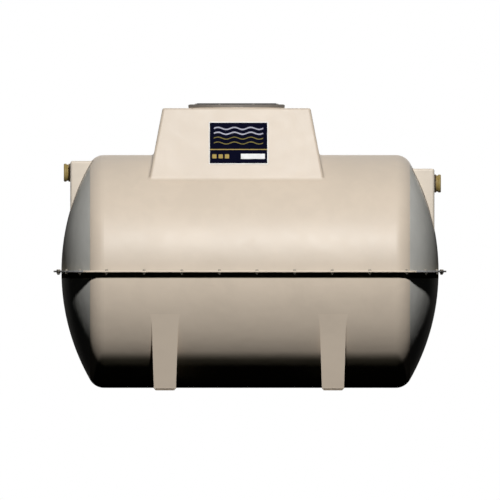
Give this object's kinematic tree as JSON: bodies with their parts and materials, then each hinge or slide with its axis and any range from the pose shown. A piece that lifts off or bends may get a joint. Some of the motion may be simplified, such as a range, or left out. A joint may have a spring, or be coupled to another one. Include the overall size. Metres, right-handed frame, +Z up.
{
  "type": "packaged sewage treatment plant",
  "caption": "Horizontal glass-fibre sewage treatment tank of bolted half shells with dished ends, a tapered access turret under a round cover, pipe boxes with drain sockets and moulded feet.",
  "frame": {"origin": "on the ground under the middle of the tank", "axes": "+X along the tank from the inlet to the outlet, -Y the front with the plate on the turret, +Z up"},
  "size_m": [2.7856, 1.76, 2.034],
  "materials": {
    "shell_gelcoat": "satin beige gelcoat over glass fibre",
    "end_gelcoat": "matt pale grey gelcoat over glass fibre",
    "cover_composite": "matt grey-brown composite",
    "lid_composite": "matt dark grey-brown composite with a tread",
    "drain_plastic": "golden-brown drain plastic",
    "seal_rubber": "black rubber",
    "grommet_rubber": "dark brown rubber",
    "fixing_steel": "dull zinc plate",
    "plate_print": "printed plastic plate, navy with a pale edge"
  },
  "bodies": {
    "root": {"upper_barrel": "shell_gelcoat", "lower_barrel": "shell_gelcoat", "inlet_end_upper": "end_gelcoat", "inlet_end_lower": "end_gelcoat", "outlet_end_upper": "end_gelcoat", "outlet_end_lower": "end_gelcoat", "joint_seal": "seal_rubber", "turret": "shell_gelcoat", "cover_frame": "cover_composite", "cover_lid": "lid_composite", "inlet_box": "shell_gelcoat", "inlet_grommet": "grommet_rubber", "inlet_socket": "drain_plastic", "inlet_ring_seal": "seal_rubber", "outlet_box": "shell_gelcoat", "outlet_grommet": "grommet_rubber", "outlet_socket": "drain_plastic", "outlet_ring_seal": "seal_rubber", "foot_front_inlet": "shell_gelcoat", "foot_front_outlet": "shell_gelcoat", "foot_back_inlet": "shell_gelcoat", "foot_back_outlet": "shell_gelcoat"}
  },
  "joints": []
}
